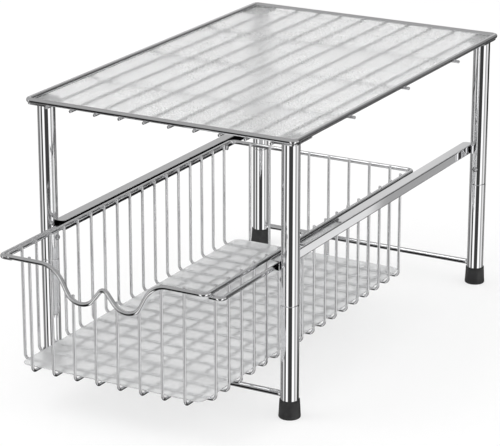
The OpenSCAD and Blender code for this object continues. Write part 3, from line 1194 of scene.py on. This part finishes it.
@dataclass
class FloorBars:
    """The bars near the floor that join the left and right legs."""

    sides: int = 28
    weld_reach: float = 1.6 * MM
    weld_swell: float = 0.7 * MM
    # The collar's outline from the leg inwards: shares of its reach and of its swell.
    weld_shape: tuple[tuple[float, float], ...] = ((0.0, 1.0), (0.5, 0.75), (1.0, 0.2), (2.0, 0.0))

    def build(self, shop: Workshop) -> None:
        """Makes both bars, with a weld collar at each end.

        Args:
            shop: The workshop that makes the pieces.
        """
        for node in ("front_bar", "rear_bar"):
            low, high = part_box(node)
            radius = (high.z - low.z) / 2
            middle = (low + high) / 2
            collar = [(high.x - a * self.weld_reach, b * self.weld_swell) for a, b in self.weld_shape]
            places = [(-x, extra) for x, extra in collar] + collar[::-1]
            rings = []
            for x, extra in places:
                centre = Vector((x, middle.y, middle.z))
                rings.append(Shell.circle(centre, Shell.RIGHT, Shell.UP, radius + extra, self.sides))
            shell = Shell()
            shell.rings(rings)
            shop.fit(shell, f"floor_{node}", Body.STAND, Slot.BRIGHT_WIRE, [node])


@dataclass
class Basket:
    """The basket: a rim with a wave in front, U-shaped thin wires, runners and a clear sheet."""

    rim_bend: float = 6.5 * MM
    wire_radius: float = 1.4 * MM
    wire_bend: float = 5 * MM
    cross_count: int = 17
    long_count: int = 8
    rim_radius: float = 2.2 * MM
    # The wave's corners: place across, height above the rim's axis and bend radius.
    shoulder: tuple[float, float, float] = (51.6 * MM, 0.0, 26 * MM)
    dip: tuple[float, float, float] = (27.2 * MM, -46 * MM, 17 * MM)
    peak: tuple[float, float, float] = (0.0, -11.9 * MM, 4.8 * MM)
    runner_bend: float = 5 * MM
    sheet_corner: float = 8 * MM
    sheet_edge: float = 0.3 * MM
    sheet_lift: float = 0.05 * MM
    side_weld: Size = (0.7 * MM, 1.5 * MM, 1.7 * MM)
    end_weld: Size = (1.5 * MM, 0.7 * MM, 1.7 * MM)
    crossing_weld: Size = (1.5 * MM, 1.5 * MM, 0.8 * MM)
    runner_weld: Size = (1.8 * MM, 2.4 * MM, 0.9 * MM)

    def build(self, shop: Workshop) -> None:
        """Makes every piece of the basket.

        Args:
            shop: The workshop that makes the pieces.
        """
        self._rim(shop)
        self._cross_wires(shop)
        self._long_wires(shop)
        self._runners(shop)
        self._sheet(shop)

    def _rim_box(self) -> tuple[Vector, Vector]:
        """Finds the rim wire's axis, its wave aside.

        Returns:
            The axis' lowest and highest corners.
        """
        low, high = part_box("basket_rim")
        r = self.rim_radius
        top = high.z - r
        return Vector((low.x + r, low.y + r, top)), Vector((high.x - r, high.y - r, top))

    def _wave(self, front: float, top: float) -> list[Bend]:
        """Draws the wave of the front wire.

        Args:
            front: Where the front wire lies.
            top: The height of the rim's axis.

        Returns:
            The wave's corners, from left to right.
        """
        half = [self.shoulder, self.dip]
        mirrored = [(-x, z, r) for x, z, r in half]
        corners = mirrored + [self.peak] + half[::-1]
        return [Bend(Vector((x, front, top + z)), r) for x, z, r in corners]

    def _rim(self, shop: Workshop) -> None:
        """Makes the rim, one closed wire.

        Args:
            shop: The workshop that makes the pieces.
        """
        low, high = self._rim_box()
        corners = [Bend(Vector((low.x, high.y, low.z)), self.rim_bend), Bend(low.copy(), self.rim_bend)]
        corners += self._wave(low.y, low.z)
        corners += [Bend(Vector((high.x, low.y, low.z)), self.rim_bend), Bend(high.copy(), self.rim_bend)]
        shell = Shell()
        path = bend_path(corners, closed=True, step=4)
        shell.wire(path, self.rim_radius, sides=28, closed=True)
        shop.fit(shell, "basket_rim_wire", Body.BASKET, Slot.BRIGHT_WIRE, ["basket_rim"])

    def _cross_wires(self, shop: Workshop) -> None:
        """Makes the U-shaped wires across, welded to the rim's sides.

        Args:
            shop: The workshop that makes the pieces.
        """
        low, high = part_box("basket_cross_wires")
        r = self.wire_radius
        rim_height = self._rim_box()[0].z
        side, bottom = high.x - r, low.z + r
        track = [(-side, high.z), (-side, bottom), (side, bottom), (side, high.z)]
        shell = Shell()
        for y in spread(low.y + r, high.y - r, self.cross_count):
            shell.wire(bend_path([Bend(Vector((x, y, z)), self.wire_bend) for x, z in track]), r)
            for sign in (-1, 1):
                shell.bead(Vector((sign * (side + r), y, rim_height)), self.side_weld)
        shop.fit(shell, "basket_wires_across", Body.BASKET, Slot.BASKET_WIRE, ["basket_cross_wires"])

    def _long_wires(self, shop: Workshop) -> None:
        """Makes the U-shaped wires along, welded under those across and to the rim's ends.

        Args:
            shop: The workshop that makes the pieces.
        """
        low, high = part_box("basket_long_wires")
        cross_low, cross_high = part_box("basket_cross_wires")
        r = self.wire_radius
        rim_low, rim_high = self._rim_box()
        right_end = Bend(Vector((rim_high.x, rim_low.y, rim_low.z)))
        wave = bend_path([Bend(rim_low.copy())] + self._wave(rim_low.y, rim_low.z) + [right_end])
        front, rear, bottom = low.y + r, high.y - r, low.z + r
        shell = Shell()
        for x in spread(low.x + r, high.x - r, self.long_count):
            height = self._height(wave, x)
            track = [(front, height + self.rim_radius), (front, bottom), (rear, bottom), (rear, high.z)]
            shell.wire(bend_path([Bend(Vector((x, y, z)), self.wire_bend) for y, z in track]), r)
            shell.bead(Vector((x, front - r, height)), self.end_weld)
            shell.bead(Vector((x, rear + r, rim_low.z)), self.end_weld)
            for y in spread(cross_low.y + r, cross_high.y - r, self.cross_count):
                shell.bead(Vector((x, y, bottom + r)), self.crossing_weld)
        shop.fit(shell, "basket_wires_along", Body.BASKET, Slot.BASKET_WIRE, ["basket_long_wires"])

    @staticmethod
    def _height(path: Sequence[Vector], x: float) -> float:
        """Finds the height of a left-to-right path at one place.

        Args:
            path: The path's points.
            x: The place.

        Returns:
            The height there.
        """
        for a, b in zip(path, path[1:]):
            if a.x <= x <= b.x:
                return a.z + (b.z - a.z) * (x - a.x) / (b.x - a.x) if b.x > a.x else a.z
        return path[-1].z

    def _runners(self, shop: Workshop) -> None:
        """Makes the wires that slide in the rails, their ends turned in under the rim.

        Args:
            shop: The workshop that makes the pieces.
        """
        rim_low, rim_high = self._rim_box()
        for side, word in ((-1, "left"), (1, "right")):
            node = f"runner_{word}"
            low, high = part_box(node)
            r = (high.z - low.z) / 2
            outer, inner = (high.x - r, low.x) if side > 0 else (low.x + r, high.x)
            z = low.z + r
            track = [(inner, low.y + r), (outer, low.y + r), (outer, high.y - r), (inner, high.y - r)]
            bends = [Bend(Vector((x, y, z)), self.runner_bend) for x, y in track]
            shell = Shell()
            shell.wire(bend_path(bends, step=5), r, sides=24)
            rim_x = rim_high.x if side > 0 else rim_low.x
            for y in (low.y + r, high.y - r):
                shell.bead(Vector((rim_x, y, high.z)), self.runner_weld)
            shop.fit(shell, f"slide_{node}", Body.BASKET, Slot.BRIGHT_WIRE, [node])

    def _sheet(self, shop: Workshop) -> None:
        """Makes the clear sheet on the basket's bottom.

        Args:
            shop: The workshop that makes the pieces.
        """
        low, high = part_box("basket_sheet")
        shell = Shell()
        outline = round_outline(low, high, self.sheet_corner)
        shell.slab(outline, low.z + self.sheet_lift, high.z, self.sheet_edge)
        shop.fit(shell, "clear_basket_sheet", Body.BASKET, Slot.CLEAR, ["basket_sheet"])


# ---------------------------------------------------------------- studio


@dataclass(frozen=True)
class SoftBox:
    """A lit panel that bright metal mirrors, or with a level below 0 a dark one.

    Its bearing is counted from the camera's own, towards the right. Its bearing, half width, blur
    and its lowest and highest elevation are in degrees, and its soft edges above and below are a
    share of the sky's height.
    """

    bearing: float
    half_width: float
    blur: float
    level: float
    low: float
    high: float
    soft: float = 0.05


@dataclass(frozen=True)
class Lamp:
    """A round soft lamp: its place and size in metres and its power in watts."""

    name: str
    place: tuple[float, float, float]
    size: float
    power: float

    def build(self, target: Vector) -> bpy.types.Object:
        """Makes the lamp, which metal doesn't mirror.

        Args:
            target: The point that it shines on.

        Returns:
            The lamp.
        """
        data = bpy.data.lights.new(self.name, "AREA")
        data.shape = "DISK"
        data.size = self.size
        data.energy = self.power
        lamp = bpy.data.objects.new(self.name, data)
        lamp.location = self.place
        lamp.rotation_mode = "QUATERNION"
        lamp.rotation_quaternion = (Vector(self.place) - target).to_track_quat("Z", "Y")
        lamp.visible_glossy = False
        bpy.context.scene.collection.objects.link(lamp)
        return lamp


@dataclass(frozen=True)
class View:
    """Where the camera stands: a point that it looks at, and its bearing, height and distance."""

    target: tuple[float, float, float] = (-18.31 * MM, 32.956 * MM, 108.378 * MM)
    azimuth: float = 29.2
    elevation: float = 18.616
    distance: float = 2.392478
    lens: float = 170.885
    sensor: float = 36.0
    nearest: float = 0.05
    farthest: float = 50.0

    def build(self) -> bpy.types.Object:
        """Makes the scene's camera.

        Returns:
            The camera.
        """
        data = bpy.data.cameras.new("view")
        data.lens = self.lens
        data.sensor_width = self.sensor
        data.sensor_fit = "HORIZONTAL"
        data.clip_start = self.nearest
        data.clip_end = self.farthest
        camera = bpy.data.objects.new("view", data)
        turn, lift = math.radians(self.azimuth), math.radians(self.elevation)
        back = Vector((math.sin(turn) * math.cos(lift), -math.cos(turn) * math.cos(lift), math.sin(lift)))
        camera.location = Vector(self.target) + back * self.distance
        camera.rotation_mode = "QUATERNION"
        camera.rotation_quaternion = back.to_track_quat("Z", "Y")
        bpy.context.scene.collection.objects.link(camera)
        bpy.context.scene.camera = camera
        return camera


@dataclass
class Studio:
    """A pale floor, a plain bright room and lit panels for the metal to mirror."""

    view: View
    floor_size: float = 30.0
    floor_colour: Colour = (0.96, 0.96, 0.96)
    floor_tint: float = 0.995
    floor_mottle: float = 3.0
    floor_rough: float = 0.9
    floor_glow: float = 0.67
    room: float = 0.9
    mirror_low: float = 0.052
    mirror_sky: float = 0.35
    horizon: tuple[float, float] = (-0.14, 0.16)
    lamps: tuple[Lamp, ...] = (
        Lamp("key_lamp", (-1.6, -1.2, 2.6), 2.2, 32.0),
        Lamp("side_lamp", (2.2, 0.4, 2.0), 1.8, 8.0),
    )
    boxes: tuple[SoftBox, ...] = (
        SoftBox(-38, 5, 13, 1.2, -75, 4),
        SoftBox(-85, 8, 9, 0.75, -35, 4),
        SoftBox(-140, 18, 14, 0.25, -75, 6),
        SoftBox(38, 7, 10, 1.25, -75, 4),
        SoftBox(60, 6, 8, 0.4, -75, 4),
        SoftBox(86, 10, 8, 0.85, -25, 4),
        SoftBox(125, 6, 0.5, 0.42, -21.6, -16.4, 0.01),
        SoftBox(122.4, 2.3, 0.5, 0.48, -21.6, -16.4, 0.01),
        SoftBox(127.8, 0.9, 0.4, 0.3, -21.6, -16.4, 0.01),
        SoftBox(155, 8, 8, 0.3, -27, -6),
        SoftBox(134, 30, 4, -0.048, -75, -4),
        SoftBox(-62, 10, 4, -0.045, -75, -8),
        SoftBox(112, 9.5, 1.5, -0.2, 3, 26),
        SoftBox(128, 22, 10, -0.14, 3, 38),
        SoftBox(163, 13, 5, 0.24, 8, 34),
        SoftBox(182, 6, 2, 0.1, 8, 34),
        SoftBox(-62, 45, 25, 0.04, 8, 72),
    )

    def build(self) -> None:
        """Makes the floor, the room and the lamps."""
        self._floor()
        self._room()
        for lamp in self.lamps:
            lamp.build(Vector(self.view.target))
        bpy.context.scene.view_settings.view_transform = "Standard"

    def _floor(self) -> None:
        """Makes a plain floor, which the metal doesn't mirror."""
        half = self.floor_size / 2
        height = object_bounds()[0][2]
        plan = ((-half, -half), (half, -half), (half, half), (-half, half))
        shell = Shell()
        shell.vertices = [Vector((x, y, height)) for x, y in plan]
        shell.faces = [(0, 1, 2, 3)]
        material, graph = new_material("pale_floor")
        tone = graph.noise(graph.place(), self.floor_mottle)
        shade = tuple(self.floor_tint * c for c in self.floor_colour)
        lit = graph.value(
            "ShaderNodeBsdfPrincipled",
            {},
            {
                "Base Color": graph.blend(tone, self.floor_colour, shade),
                "Roughness": self.floor_rough,
                "Specular IOR Level": 0.0,
            },
        )
        glow = graph.value("ShaderNodeEmission", {}, {"Color": (1, 1, 1, 1), "Strength": 1.0})
        path = graph.add("ShaderNodeLightPath", {}, {})
        seen = Sock(graph, path.outputs["Is Camera Ray"]) * self.floor_glow
        through = Sock(graph, path.outputs["Is Transmission Ray"])
        mixed = graph.value("ShaderNodeMixShader", {}, {0: seen + through, 1: lit, 2: glow})
        graph.add("ShaderNodeOutputMaterial", {}, {"Surface": mixed})
        floor = shell.make("floor", material)
        floor.visible_glossy = False
        floor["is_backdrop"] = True

    def _room(self) -> None:
        """Makes the world: white to the camera, lit panels for mirrors, even light for the rest."""
        world = bpy.data.worlds.new("room")
        bpy.context.scene.world = world
        world.use_nodes = True
        graph = Graph(world.node_tree)
        towards = graph.value("ShaderNodeTexCoord", {}, {}, "Generated")
        height = graph.value("ShaderNodeSeparateXYZ", {}, {0: towards}, "Z")
        run = (1 - height * height) ** 0.5
        mirror = self.mirror_low + height.rise(*self.horizon) * self.mirror_sky
        for box in self.boxes:
            mirror = mirror + self._panel(graph, towards, height, run, box)
        path = graph.add("ShaderNodeLightPath", {}, {})
        seen = Sock(graph, path.outputs["Is Camera Ray"])
        glossy = Sock(graph, path.outputs["Is Glossy Ray"])
        through = Sock(graph, path.outputs["Is Transmission Ray"])
        plain = 1 - glossy
        light = glossy * mirror + plain * (seen + through + (1 - seen) * (1 - through) * self.room)
        shader = graph.value("ShaderNodeBackground", {}, {"Color": light, "Strength": 1.0})
        graph.add("ShaderNodeOutputWorld", {}, {"Surface": shader})

    def _panel(self, graph: Graph, towards: Sock, height: Sock, run: Sock, box: SoftBox) -> Sock:
        """Works out the light of one panel in a direction.

        Args:
            graph: The world's graph.
            towards: The direction.
            height: Its upright part.
            run: Its level part.
            box: The panel.

        Returns:
            The panel's light as a socket.
        """
        bearing = math.radians(self.view.azimuth + box.bearing)
        facing = graph.value(
            "ShaderNodeVectorMath",
            {"operation": "DOT_PRODUCT"},
            {0: towards, 1: (math.sin(bearing), -math.cos(bearing), 0.0)},
            "Value",
        )
        near = math.cos(math.radians(box.half_width))
        far = math.cos(math.radians(box.half_width + box.blur))
        across = (facing / (run + TINY)).rise(far, near)
        low, high = math.sin(math.radians(box.low)), math.sin(math.radians(box.high))
        over = height.rise(low - box.soft, low + box.soft)
        under = 1 - height.rise(high - box.soft, high + box.soft)
        return across * (over * under) * box.level


def dress_small_parts(shop: Workshop) -> None:
    """Dresses the nodes that stay as they are: studs and screws."""
    shop.dress("plate_studs", Body.STAND, Slot.INNER_STEEL)
    shop.dress("leg_screws", Body.STAND, Slot.SCREW)


def main() -> None:
    """Builds the studio and every piece, in order."""
    logging.basicConfig(level=logging.INFO, format="%(name)s: %(message)s")
    view = View()
    view.build()
    Studio(view).build()
    shop = Workshop()
    Shelf().build(shop)
    for corner in Corner:
        Leg(corner).build(shop)
    for side in (-1, 1):
        Rail(side).build(shop)
    FloorBars().build(shop)
    Basket().build(shop)
    dress_small_parts(shop)
    LOG.info("%d pieces", len(shop.pieces))


if __name__ == "__main__":
    main()
